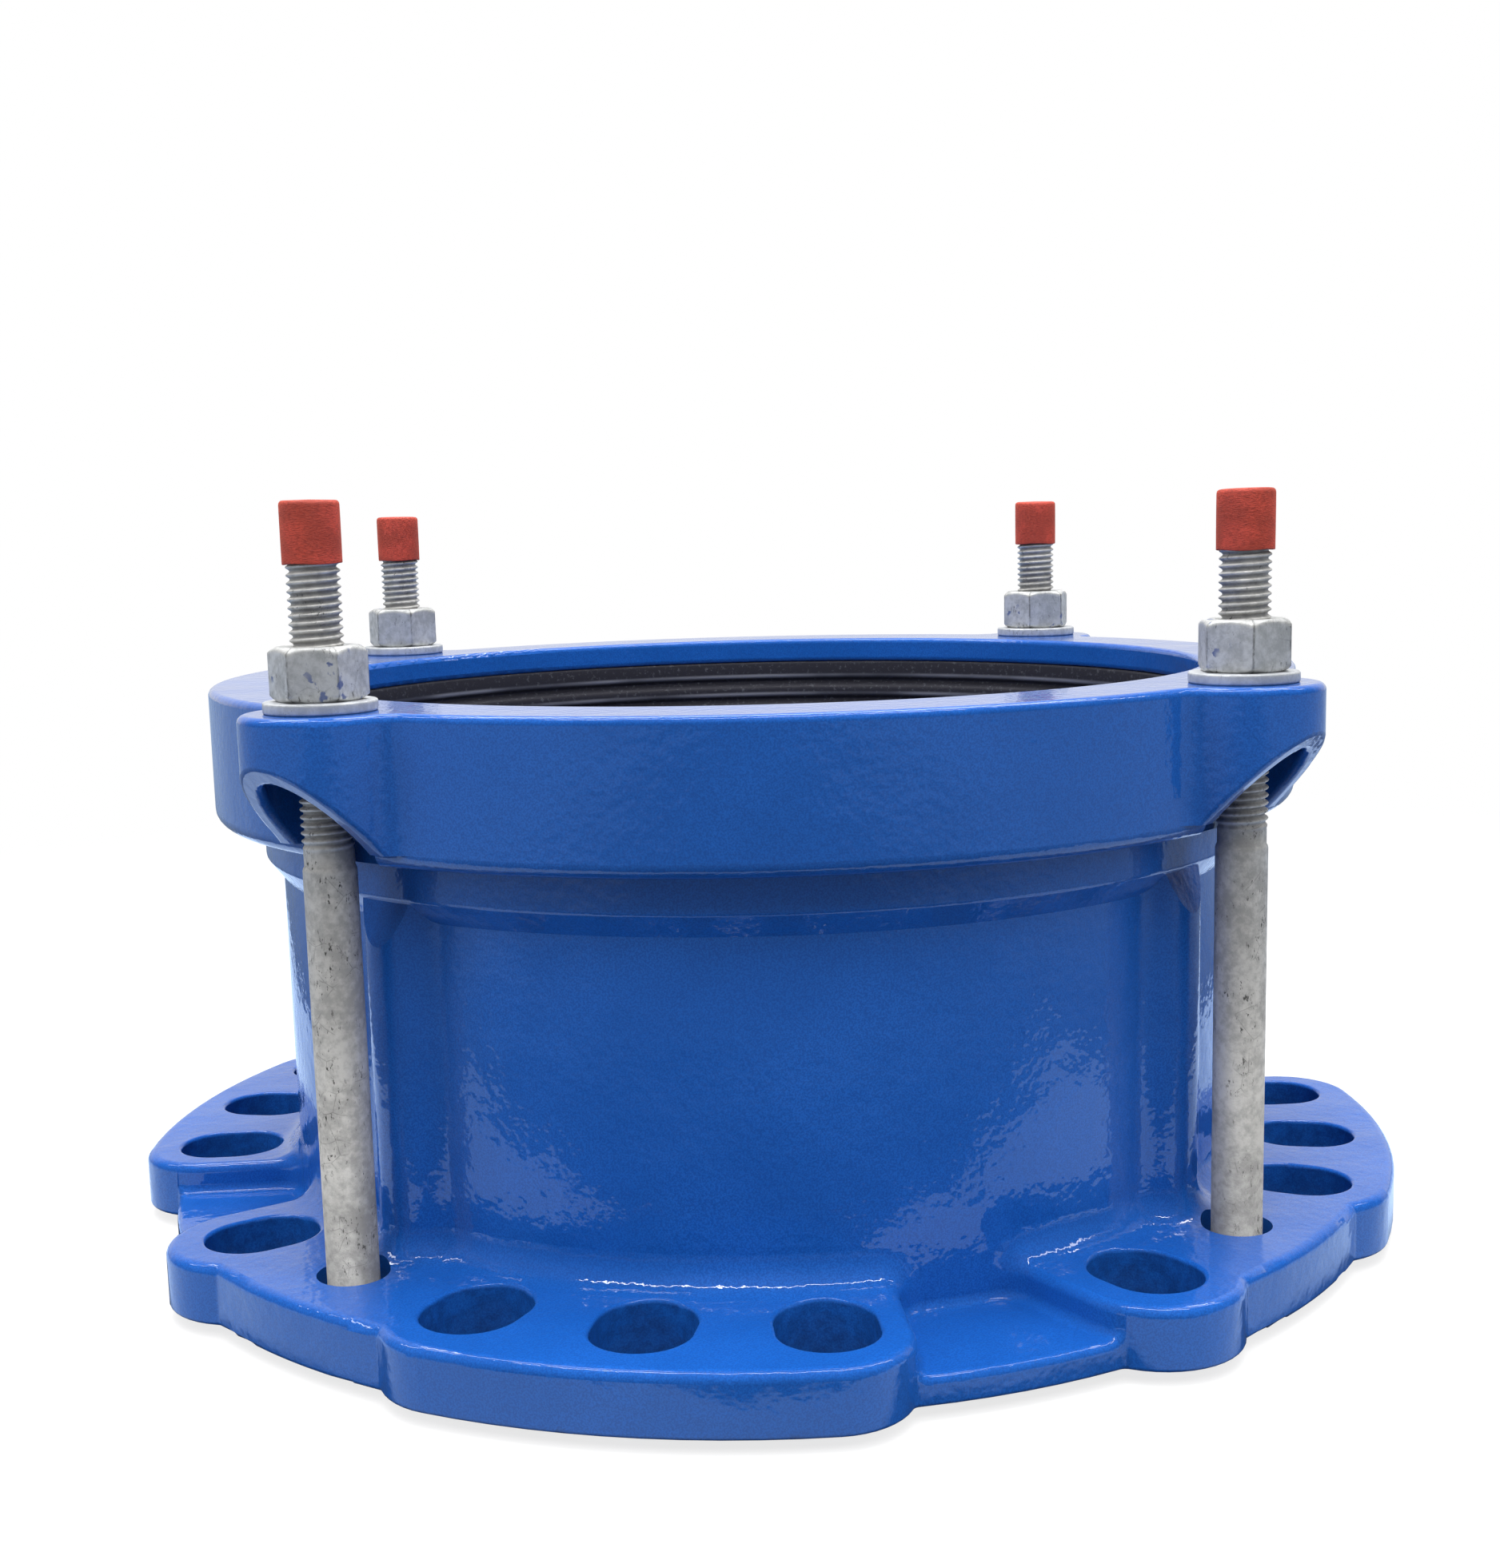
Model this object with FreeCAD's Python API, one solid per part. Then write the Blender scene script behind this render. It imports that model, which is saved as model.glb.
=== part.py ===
import FreeCAD, Part
import math
import os

# A universal flange adaptor for a 200 mm pipe, standing on its flange.
# A cast sleeve with a slotted flange takes the pipe's end. A compression ring sits over the
# sleeve's mouth, and a rubber wedge gasket lies between the two. Four tie bolts, caught by
# their heads under the flange, carry the nuts that press the ring down on the gasket.
# Z is the pipe's axis and z = 0 is the sealing face. Lengths are in mm, angles in degrees,
# counter-clockwise from +X. Everything repeats in each quarter turn.

V = FreeCAD.Vector
UP = V(0, 0, 1)
ORIGIN = V(0, 0, 0)
QUARTERS = (0, 90, 180, 270)

# Where things stand round the axis, in the first quarter
SINGLE_SLOT_ANGLE = 0.0
BOLT_ANGLE = 15.0
TRIPLE_SLOT_ANGLES = (30.0, 45.0, 60.0)
SLOT_ANGLES = [quarter + angle for quarter in QUARTERS
               for angle in (SINGLE_SLOT_ANGLE,) + TRIPLE_SLOT_ANGLES]

# Sleeve, with a flared mouth that seats the gasket and a rib behind each tie bolt.
# The bore is the size that leads: everything round it stands off by a wall, step or clearance.
BORE_RADIUS = 119.5
WALL_THICKNESS = 7.8
SLEEVE_HEIGHT = 121.0
RIM_STEP = 4.2
RIM_HEIGHT = 19.0
RIM_FLARE = 5.5
RIM_ROUND = 1.5
RIM_FOOT_ROUND = 1.2
SEAT_DEPTH = 15.0
SEAT_LEDGE = 2.0
SEAT_RIM_WIDTH = 2.5
BASE_ROUND = 8.0
RIB_RADIUS = 11.0
RIB_HEIGHT = 6.7
RIB_BLEND = 8.6

# Flange. With this bore the slots' middles lie on the standard bolt circle, 295 mm across.
SLOT_STANDOFF = 28.0
SLOT_WIDTH = 22.0
SLOT_LENGTH = 27.2
RAISED_FACE_SET_IN = 0.9
RAISED_FACE_HEIGHT = 3.0
PLATE_THICKNESS = 14.5
RECESS_DEPTH = 7.8
LOBE_RIM = 9.1
LOBE_SIDE_RIM = 9.0
LOBE_END_RIM = 7.0
BOLT_PAD_STEP = 5.2
RECESS_STEP = 10.2
FLANGE_HOLE = 16.6
PLATE_EDGE_ROUND = 2.4
PLATE_FOOT_ROUND = 1.0
SLOT_EDGE_ROUND = 1.0
NOTCH_ROUND = 2.0
RECESS_FLOOR_ROUND = 2.5
RECESS_RIM_ROUND = 2.0

# Compression ring, with its lip on the relaxed gasket
RING_STAND = 24.5
RING_HEIGHT = 34.0
CAVITY_CLEARANCE = 3.0
CAVITY_DROP = 7.0
SKIRT_WALL = 9.0
RING_BORE_STEP = 0.2
LIP_HEIGHT = 7.5
LIP_WIDTH = 4.3
RING_TOP_ROUND = 1.8
RING_FOOT_ROUND = 3.5
LIP_ROUND = 1.5

# Bosses of the compression ring, hollow and slanted from below
BOSS_SET_OUT = 2.0
BOSS_RADIUS = 18.0
BOSS_WALL = 5.3
BOSS_ROOF = 10.0
BOSS_TIP_HEIGHT = 11.0
BOSS_LEDGE = 1.8
BOSS_BLEND = 6.0
BOSS_HOLE = 15.0
BOSS_EDGE_ROUND = 1.5
POCKET_BACK_WALL = 4.5

# Gasket
GASKET_BORE_STEP = 0.4
GASKET_CLEARANCE = 0.4
SHOULDER_CLEARANCE = 3.9
GROOVE_PITCH = 6.0
GROOVE_WIDTH = 3.8
GROOVE_DEPTH = 2.0
FIRST_GROOVE_DROP = 6.5

# Tie bolts
BOLT_REACH = 41.7
SHANK_DIAMETER = 11.9
THREAD_DIAMETER = 11.7
NECK_DIAMETER = 11.1
NECK_LENGTH = 3.8
THREAD_LENGTH = 72.4
BOLT_END_CHAMFER = 1.2
HEAD_FLATS = 18.6
HEAD_HEIGHT = 7.6
HEAD_CLEARANCE = 0.5

# Nuts, washers and caps. The first cap isn't pushed on as far as the others.
NUT_FLATS = 18.8
NUT_HEIGHT = 11.8
NUT_HOLE_CLEARANCE = 0.1
NUT_CHAMFER_SLOPE = 30.0
NUT_FACE_SHARE = 0.95
NUT_TURNS = (29.6, 52.1, 36.9, 20.1)
WASHER_DIAMETER = 24.8
WASHER_THICKNESS = 2.5
WASHER_HOLE = 13.0
CAP_LENGTH = 13.8
CAP_WALL = 0.6
CAP_END_WALL = 1.4
CAP_CLEARANCE = 0.1
CAP_END_GAPS = (2.4, 0.1, 0.1, 0.1)
CAP_ROUND = 1.0

# Radii that follow, from the bore outwards
WALL_RADIUS = BORE_RADIUS + WALL_THICKNESS
MID_WALL_RADIUS = BORE_RADIUS + WALL_THICKNESS / 2
RIB_REACH = WALL_RADIUS + RIB_HEIGHT
RIM_RADIUS = WALL_RADIUS + RIM_STEP
SEAT_BOTTOM_RADIUS = BORE_RADIUS + SEAT_LEDGE
SEAT_MOUTH_RADIUS = RIM_RADIUS - SEAT_RIM_WIDTH
CAVITY_RADIUS = RIM_RADIUS + CAVITY_CLEARANCE
RING_RADIUS = CAVITY_RADIUS + SKIRT_WALL
RING_BORE_RADIUS = BORE_RADIUS + RING_BORE_STEP
LIP_FACE_RADIUS = RING_BORE_RADIUS + LIP_WIDTH
GASKET_BORE_RADIUS = BORE_RADIUS + GASKET_BORE_STEP
GASKET_SHOULDER_RADIUS = CAVITY_RADIUS - SHOULDER_CLEARANCE
BOLT_CIRCLE = RING_RADIUS + BOSS_SET_OUT
SLOT_CIRCLE = BORE_RADIUS + SLOT_STANDOFF
RAISED_FACE_RADIUS = SLOT_CIRCLE - SLOT_LENGTH / 2 - RAISED_FACE_SET_IN
LOBE_RADIUS = SLOT_CIRCLE + SLOT_LENGTH / 2 + LOBE_RIM
BOLT_PAD_RADIUS = LOBE_RADIUS - BOLT_PAD_STEP
RECESS_RADIUS = LOBE_RADIUS - RECESS_STEP
LOBE_CORNER = SLOT_WIDTH / 2 + LOBE_SIDE_RIM
LOBE_END_CORNER = SLOT_WIDTH / 2 + LOBE_END_RIM

# Heights that follow, from the sealing face up
PLATE_TOP = RAISED_FACE_HEIGHT + PLATE_THICKNESS
RECESS_FLOOR = PLATE_TOP - RECESS_DEPTH
HEAD_SEAT = RAISED_FACE_HEIGHT + HEAD_CLEARANCE + HEAD_HEIGHT
RIM_BOTTOM = SLEEVE_HEIGHT - RIM_HEIGHT
SEAT_BOTTOM = SLEEVE_HEIGHT - SEAT_DEPTH
RING_TOP = SLEEVE_HEIGHT + RING_STAND
RING_BOTTOM = RING_TOP - RING_HEIGHT
LIP_BOTTOM = RING_TOP - LIP_HEIGHT
BOSS_BOTTOM = RING_BOTTOM + RING_FOOT_ROUND
BOSS_TIP = RING_TOP - BOSS_TIP_HEIGHT
WASHER_TOP = RING_TOP + WASHER_THICKNESS
BOLT_TOP = RING_TOP + BOLT_REACH
THREAD_BOTTOM = BOLT_TOP - THREAD_LENGTH

# How far a cutting tool runs past what it cuts, and what counts as the same place
EXTRA = 1.0
TINY = 0.01


def polar(radius, angle, z=0.0):
    a = math.radians(angle)
    return V(radius * math.cos(a), radius * math.sin(a), z)


def turned(points):
    """A solid of revolution round Z from (radius, height) points."""
    corners = [V(r, 0, z) for r, z in points]
    face = Part.Face(Part.makePolygon(corners + corners[:1]))
    return face.revolve(ORIGIN, UP, 360)


def cylinder(radius, bottom, top, centre=ORIGIN):
    return Part.makeCylinder(radius, top - bottom, V(centre.x, centre.y, bottom))


def prism(edges, bottom, top):
    """A flat outline, drawn at z = 0, stood up between two heights."""
    face = Part.Face(Part.Wire(edges))
    face.translate(V(0, 0, bottom))
    return face.extrude(V(0, 0, top - bottom))


def arc(centre, start, end):
    """The shorter arc round a centre from one point to another."""
    middle = (start + end) * 0.5 - centre
    middle.normalize()
    return Part.Arc(start, centre + middle * start.distanceToPoint(centre), end).toShape()


def line(start, end):
    return Part.LineSegment(start, end).toShape()


def meet(centre, radius, axis_radius, side):
    """Where a circle crosses one about the axis, on its counter-clockwise side (1) or other (-1)."""
    reach = centre.Length
    cosine = (axis_radius ** 2 + reach ** 2 - radius ** 2) / (2 * axis_radius * reach)
    turn = side * math.degrees(math.acos(cosine))
    return polar(axis_radius, math.degrees(math.atan2(centre.y, centre.x)) + turn)


def beside(angle, along, across):
    """A point given along and across the radial line at an angle."""
    return polar(along, angle) + polar(across, angle + 90)


def turn(shape, angle):
    copy = shape.copy()
    copy.rotate(ORIGIN, UP, angle)
    return copy


def all_quarters(shape):
    return [turn(shape, angle) for angle in QUARTERS]


def round_edges(solid, radius, chosen):
    """Fillet the edges that a test picks out."""
    return solid.makeFillet(radius, [edge for edge in solid.Edges if chosen(edge)])


def is_upright(edge):
    box = edge.BoundBox
    return box.XLength < TINY and box.YLength < TINY


def lies_at(edge, height):
    box = edge.BoundBox
    return abs(box.ZMin - height) < TINY and abs(box.ZMax - height) < TINY


def middle_point(edge):
    return edge.valueAt((edge.FirstParameter + edge.LastParameter) / 2)


def middle_radius(edge):
    point = middle_point(edge)
    return math.hypot(point.x, point.y)


def hexagon(flats, bottom, top):
    corners = [polar(flats / math.sqrt(3), 60 * i) for i in range(7)]
    return prism([line(a, b) for a, b in zip(corners, corners[1:])], bottom, top)


def slot(angle, length, width, bottom, top):
    """A slot along the radial line, centred on the slot circle."""
    half = width / 2
    run = (length - width) / 2
    inner = SLOT_CIRCLE - run
    outer = SLOT_CIRCLE + run
    corners = [beside(angle, inner, half), beside(angle, inner, -half),
               beside(angle, outer, -half), beside(angle, outer, half)]
    ends = [beside(angle, inner - half, 0), beside(angle, outer + half, 0)]
    edges = [Part.Arc(corners[0], ends[0], corners[1]).toShape(), line(corners[1], corners[2]),
             Part.Arc(corners[2], ends[1], corners[3]).toShape(), line(corners[3], corners[0])]
    return prism(edges, bottom, top)


def lobe_centres(quarter):
    """Centres of the rounded lobe corners: round the single slot and the ends of the three."""
    single = polar(LOBE_RADIUS - LOBE_CORNER, quarter + SINGLE_SLOT_ANGLE)
    first = polar(LOBE_RADIUS - LOBE_CORNER, quarter + TRIPLE_SLOT_ANGLES[0])
    last = polar(LOBE_RADIUS - LOBE_END_CORNER, quarter + TRIPLE_SLOT_ANGLES[-1])
    return single, first, last


def plate_outline():
    """The flange's edge: single lobe, bolt pad, triple lobe and recess, four times."""
    edges = []
    for quarter in QUARTERS:
        single, first, last = lobe_centres(quarter)
        following = lobe_centres(quarter + 90)[0]
        lobe_start = polar(LOBE_RADIUS, quarter + TRIPLE_SLOT_ANGLES[0])
        lobe_end = polar(LOBE_RADIUS, quarter + TRIPLE_SLOT_ANGLES[-1])
        single_start = meet(single, LOBE_CORNER, RECESS_RADIUS, -1)
        pad_start = meet(single, LOBE_CORNER, BOLT_PAD_RADIUS, 1)
        pad_end = meet(first, LOBE_CORNER, BOLT_PAD_RADIUS, -1)
        recess_start = meet(last, LOBE_END_CORNER, RECESS_RADIUS, 1)
        recess_end = meet(following, LOBE_CORNER, RECESS_RADIUS, -1)
        edges += [arc(single, single_start, pad_start), arc(ORIGIN, pad_start, pad_end),
                  arc(first, pad_end, lobe_start), arc(ORIGIN, lobe_start, lobe_end),
                  arc(last, lobe_end, recess_start), arc(ORIGIN, recess_start, recess_end)]
    return edges


def recess():
    """What is left out of the plate's top between the triple lobe and the next single lobe."""
    last = lobe_centres(0)[2]
    following = lobe_centres(90)[0]
    start_angle = TRIPLE_SLOT_ANGLES[-1]
    end_angle = SINGLE_SLOT_ANGLE + 90
    beyond = (LOBE_RADIUS + LOBE_CORNER) / RECESS_RADIUS
    start_inner = beside(start_angle, math.sqrt(BORE_RADIUS ** 2 - LOBE_END_CORNER ** 2),
                         LOBE_END_CORNER)
    start_bend = beside(start_angle, last.Length, LOBE_END_CORNER)
    start_rim = meet(last, LOBE_END_CORNER, RECESS_RADIUS, 1)
    end_rim = meet(following, LOBE_CORNER, RECESS_RADIUS, -1)
    end_bend = beside(end_angle, following.Length, -LOBE_CORNER)
    end_inner = beside(end_angle, math.sqrt(BORE_RADIUS ** 2 - LOBE_CORNER ** 2), -LOBE_CORNER)
    edges = [line(start_inner, start_bend), arc(last, start_bend, start_rim),
             line(start_rim, start_rim * beyond), line(start_rim * beyond, end_rim * beyond),
             line(end_rim * beyond, end_rim), arc(following, end_rim, end_bend),
             line(end_bend, end_inner), arc(ORIGIN, end_inner, start_inner)]
    return prism(edges, RECESS_FLOOR, PLATE_TOP + EXTRA)


def bump(centre_radius, radius, wall_radius, blend, root_radius, bottom, top):
    """A round bulge standing out of a turned wall at the bolt's angle, blended in on both sides."""
    centre = polar(centre_radius, BOLT_ANGLE)
    blend_reach = wall_radius + blend
    reach = radius + blend
    cosine = (blend_reach ** 2 + centre_radius ** 2 - reach ** 2) / (2 * blend_reach * centre_radius)
    spread = math.degrees(math.acos(cosine))
    blends = [polar(blend_reach, BOLT_ANGLE + side * spread) for side in (-1, 1)]
    feet = [polar(wall_radius, BOLT_ANGLE + side * spread) for side in (-1, 1)]
    roots = [polar(root_radius, BOLT_ANGLE + side * spread) for side in (-1, 1)]
    flanks = [centre + (middle - centre) * (radius / reach) for middle in blends]
    tip = centre + polar(radius, BOLT_ANGLE)
    edges = [arc(ORIGIN, roots[1], roots[0]), line(roots[0], feet[0]),
             arc(blends[0], feet[0], flanks[0]), Part.Arc(flanks[0], tip, flanks[1]).toShape(),
             arc(blends[1], flanks[1], feet[1]), line(feet[1], roots[1])]
    return prism(edges, bottom, top)


def rib():
    """The rounded rib up the sleeve behind a tie bolt, run out under the rim."""
    solid = bump(RIB_REACH - RIB_RADIUS, RIB_RADIUS, WALL_RADIUS, RIB_BLEND,
                 MID_WALL_RADIUS, RAISED_FACE_HEIGHT, RIM_BOTTOM + RIM_FLARE)
    run_out = turned([(RIB_REACH, RIM_BOTTOM - 2 * RIM_FLARE),
                      (RIB_REACH + EXTRA, RIM_BOTTOM - 2 * RIM_FLARE),
                      (RIB_REACH + EXTRA, RIM_BOTTOM + RIM_FLARE + EXTRA),
                      (WALL_RADIUS, RIM_BOTTOM + RIM_FLARE + EXTRA),
                      (RIM_RADIUS - EXTRA, RIM_BOTTOM)])
    return solid.cut(run_out)


def sleeve():
    """The turned tube with its raised sealing face and its flared mouth."""
    return turned([(BORE_RADIUS, 0), (RAISED_FACE_RADIUS, 0),
                   (RAISED_FACE_RADIUS, RAISED_FACE_HEIGHT), (WALL_RADIUS, RAISED_FACE_HEIGHT),
                   (WALL_RADIUS, RIM_BOTTOM - RIM_FLARE), (RIM_RADIUS, RIM_BOTTOM),
                   (RIM_RADIUS, SLEEVE_HEIGHT), (SEAT_MOUTH_RADIUS, SLEEVE_HEIGHT),
                   (SEAT_BOTTOM_RADIUS, SEAT_BOTTOM), (BORE_RADIUS, SEAT_BOTTOM)])


def head_pocket():
    """The recess under the flange that holds a bolt's head and keeps it from turning."""
    width = HEAD_FLATS + 2 * HEAD_CLEARANCE
    length = HEAD_FLATS * 2 / math.sqrt(3) + 2 * HEAD_CLEARANCE
    block = Part.makeBox(length, width, HEAD_SEAT + EXTRA,
                         V(BOLT_CIRCLE - length / 2, -width / 2, -EXTRA))
    return turn(block, BOLT_ANGLE)


def slots():
    return [slot(angle, SLOT_LENGTH, SLOT_WIDTH, -EXTRA, PLATE_TOP + EXTRA) for angle in SLOT_ANGLES]


def is_slot_rim(edge):
    """True for the edges that run round the top of a slot, half its width from its middle line."""
    if is_upright(edge) or edge.BoundBox.ZMin < PLATE_TOP - TINY:
        return False
    run = (SLOT_LENGTH - SLOT_WIDTH) / 2
    for angle in SLOT_ANGLES:
        offset = middle_point(edge) - polar(SLOT_CIRCLE, angle)
        beyond = max(abs(offset.dot(polar(1, angle))) - run, 0)
        across = offset.dot(polar(1, angle + 90))
        if abs(math.hypot(beyond, across) - SLOT_WIDTH / 2) < TINY:
            return True
    return False


def flange_body():
    plate = prism(plate_outline(), RAISED_FACE_HEIGHT, PLATE_TOP)
    plate = plate.cut(cylinder(MID_WALL_RADIUS, 0, PLATE_TOP + EXTRA))
    plate = round_edges(plate, NOTCH_ROUND,
                        lambda e: is_upright(e) and middle_radius(e) < BOLT_PAD_RADIUS + TINY
                        and middle_radius(e) > RECESS_RADIUS - TINY)
    plate = plate.cut(all_quarters(recess()))
    body = plate.fuse([sleeve()] + all_quarters(rib())).removeSplitter()
    body = round_edges(body, PLATE_EDGE_ROUND,
                       lambda e: lies_at(e, PLATE_TOP) and middle_radius(e) > RIB_REACH + EXTRA)
    body = round_edges(body, BASE_ROUND,
                       lambda e: lies_at(e, PLATE_TOP) and middle_radius(e) < RIB_REACH + EXTRA)
    body = round_edges(body, RECESS_FLOOR_ROUND,
                       lambda e: lies_at(e, RECESS_FLOOR) and middle_radius(e) < RECESS_RADIUS - EXTRA)
    body = round_edges(body, RECESS_RIM_ROUND,
                       lambda e: lies_at(e, RECESS_FLOOR)
                       and abs(middle_radius(e) - RECESS_RADIUS) < EXTRA)
    body = round_edges(body, PLATE_FOOT_ROUND,
                       lambda e: lies_at(e, RAISED_FACE_HEIGHT)
                       and middle_radius(e) > RECESS_RADIUS - EXTRA)
    body = round_edges(body, RIM_ROUND, lambda e: lies_at(e, SLEEVE_HEIGHT))
    body = round_edges(body, RIM_FOOT_ROUND,
                       lambda e: lies_at(e, RIM_BOTTOM) and abs(e.Curve.Radius - RIM_RADIUS) < TINY)
    bolt_hole = cylinder(FLANGE_HOLE / 2, 0, PLATE_TOP + BASE_ROUND, polar(BOLT_CIRCLE, BOLT_ANGLE))
    body = body.cut(slots() + all_quarters(bolt_hole) + all_quarters(head_pocket()))
    return round_edges(body, SLOT_EDGE_ROUND, is_slot_rim)


def boss():
    """The outside of a boss for one tie bolt, its underside slanted down to the ring's foot."""
    solid = bump(BOLT_CIRCLE, BOSS_RADIUS, RING_RADIUS, BOSS_BLEND,
                 (CAVITY_RADIUS + RING_RADIUS) / 2, BOSS_BOTTOM, RING_TOP)
    fall = (BOSS_TIP - BOSS_BOTTOM) / (BOSS_SET_OUT + BOSS_RADIUS - BOSS_LEDGE)
    width = 2 * BOSS_RADIUS
    outer = V(BOLT_CIRCLE + BOSS_RADIUS + EXTRA, -width, BOSS_TIP + EXTRA * fall)
    inner = outer - V(width, 0, width * fall)
    corners = [inner, outer, V(outer.x, outer.y, inner.z)]
    face = Part.Face(Part.makePolygon(corners + corners[:1]))
    return solid.cut(turn(face.extrude(V(0, 2 * width, 0)), BOLT_ANGLE))


def boss_pocket():
    """The hollow inside a boss, shut off from the gasket's chamber by the skirt."""
    pocket = cylinder(BOSS_RADIUS - BOSS_WALL, RING_BOTTOM - EXTRA, RING_TOP - BOSS_ROOF,
                      polar(BOLT_CIRCLE, BOLT_ANGLE))
    return pocket.cut(cylinder(CAVITY_RADIUS + POCKET_BACK_WALL, 0, RING_TOP))


def is_boss_edge(edge):
    """True for the slanted edges round a boss's underside and its hollow."""
    box = edge.BoundBox
    return (box.ZMin > BOSS_BOTTOM - TINY and box.ZMax < BOSS_TIP + TINY and box.ZLength > EXTRA
            and middle_radius(edge) > RING_RADIUS)


def compression_ring():
    ring = turned([(RING_BORE_RADIUS, LIP_BOTTOM), (LIP_FACE_RADIUS, LIP_BOTTOM),
                   (CAVITY_RADIUS, LIP_BOTTOM - CAVITY_DROP), (CAVITY_RADIUS, RING_BOTTOM),
                   (RING_RADIUS, RING_BOTTOM), (RING_RADIUS, RING_TOP), (RING_BORE_RADIUS, RING_TOP)])
    ring = round_edges(ring, RING_FOOT_ROUND,
                       lambda e: lies_at(e, RING_BOTTOM) and middle_radius(e) > RING_RADIUS - TINY)
    ring = ring.fuse(all_quarters(boss())).removeSplitter()
    ring = round_edges(ring, RING_TOP_ROUND,
                       lambda e: lies_at(e, RING_TOP) and middle_radius(e) > LIP_FACE_RADIUS)
    ring = round_edges(ring, LIP_ROUND,
                       lambda e: (lies_at(e, RING_TOP) or lies_at(e, LIP_BOTTOM))
                       and middle_radius(e) < RING_BORE_RADIUS + TINY)
    bolt_hole = cylinder(BOSS_HOLE / 2, RING_BOTTOM, RING_TOP + EXTRA, polar(BOLT_CIRCLE, BOLT_ANGLE))
    bolt_hole = bolt_hole.cut(cylinder(CAVITY_RADIUS + POCKET_BACK_WALL, 0, RING_TOP - BOSS_ROOF))
    ring = ring.cut(all_quarters(boss_pocket()) + all_quarters(bolt_hole))
    return round_edges(ring, BOSS_EDGE_ROUND, is_boss_edge)


def gasket():
    """The rubber wedge between the sleeve's seat and the ring's lip, grooved inside."""
    seat_lean = (SEAT_MOUTH_RADIUS - SEAT_BOTTOM_RADIUS) / SEAT_DEPTH
    lip_fall = CAVITY_DROP / (CAVITY_RADIUS - LIP_FACE_RADIUS)
    toe_radius = SEAT_BOTTOM_RADIUS - GASKET_CLEARANCE
    brow_radius = LIP_FACE_RADIUS - GASKET_CLEARANCE
    shoulder_bottom = SEAT_BOTTOM + (GASKET_SHOULDER_RADIUS - toe_radius) / seat_lean
    shoulder_top = LIP_BOTTOM - (GASKET_SHOULDER_RADIUS - brow_radius) * lip_fall
    points = [(GASKET_BORE_RADIUS, SEAT_BOTTOM), (toe_radius, SEAT_BOTTOM),
              (GASKET_SHOULDER_RADIUS, shoulder_bottom), (GASKET_SHOULDER_RADIUS, shoulder_top),
              (brow_radius, LIP_BOTTOM), (GASKET_BORE_RADIUS, LIP_BOTTOM)]
    middle = LIP_BOTTOM - FIRST_GROOVE_DROP
    while middle > SEAT_BOTTOM + GROOVE_PITCH:
        points += [(GASKET_BORE_RADIUS, middle + GROOVE_WIDTH / 2),
                   (GASKET_BORE_RADIUS + GROOVE_DEPTH, middle),
                   (GASKET_BORE_RADIUS, middle - GROOVE_WIDTH / 2)]
        middle -= GROOVE_PITCH
    return turned(points)


def tie_bolt(angle):
    """A bolt standing up through the flange, with a smooth shank, a neck and a threaded end."""
    shank = SHANK_DIAMETER / 2
    neck = NECK_DIAMETER / 2
    thread = THREAD_DIAMETER / 2
    neck_bottom = THREAD_BOTTOM - NECK_LENGTH
    stem = turned([(0, HEAD_SEAT), (shank, HEAD_SEAT), (shank, neck_bottom),
                   (neck, neck_bottom + shank - neck), (neck, THREAD_BOTTOM),
                   (thread, THREAD_BOTTOM + thread - neck), (thread, BOLT_TOP - BOLT_END_CHAMFER),
                   (thread - BOLT_END_CHAMFER, BOLT_TOP), (0, BOLT_TOP)])
    bolt = stem.fuse(hexagon(HEAD_FLATS, HEAD_SEAT - HEAD_HEIGHT, HEAD_SEAT)).removeSplitter()
    bolt.rotate(ORIGIN, UP, angle)
    bolt.translate(polar(BOLT_CIRCLE, angle))
    return bolt


def nut(angle, turned_by):
    """A hexagon nut chamfered on both faces, with its hole at the thread's outer diameter."""
    across_corners = NUT_FLATS * 2 / math.sqrt(3)
    face_radius = NUT_FLATS / 2 * NUT_FACE_SHARE
    fall = (across_corners / 2 - face_radius) * math.tan(math.radians(NUT_CHAMFER_SLOPE))
    hole = THREAD_DIAMETER / 2 + NUT_HOLE_CLEARANCE
    bottom = WASHER_TOP
    top = WASHER_TOP + NUT_HEIGHT
    envelope = turned([(hole, bottom), (face_radius, bottom), (across_corners / 2, bottom + fall),
                       (across_corners / 2, top - fall), (face_radius, top), (hole, top)])
    solid = hexagon(NUT_FLATS, bottom, top).common(envelope)
    solid.rotate(ORIGIN, UP, turned_by)
    solid.translate(polar(BOLT_CIRCLE, angle))
    return solid


def washer(angle):
    centre = polar(BOLT_CIRCLE, angle)
    disc = cylinder(WASHER_DIAMETER / 2, RING_TOP, WASHER_TOP, centre)
    return disc.cut(cylinder(WASHER_HOLE / 2, RING_TOP - EXTRA, WASHER_TOP + EXTRA, centre))


def cap(angle, end_gap):
    """The soft plastic cap that is pushed over a bolt's end to guard the thread."""
    inside = THREAD_DIAMETER / 2 + CAP_CLEARANCE
    outside = inside + CAP_WALL
    ceiling = BOLT_TOP + end_gap
    top = ceiling + CAP_END_WALL
    solid = turned([(inside, top - CAP_LENGTH), (outside, top - CAP_LENGTH), (outside, top),
                    (0, top), (0, ceiling), (inside, ceiling)])
    solid = round_edges(solid, CAP_ROUND,
                        lambda e: lies_at(e, top) and middle_radius(e) > inside)
    solid.translate(polar(BOLT_CIRCLE, angle))
    return solid


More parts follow.
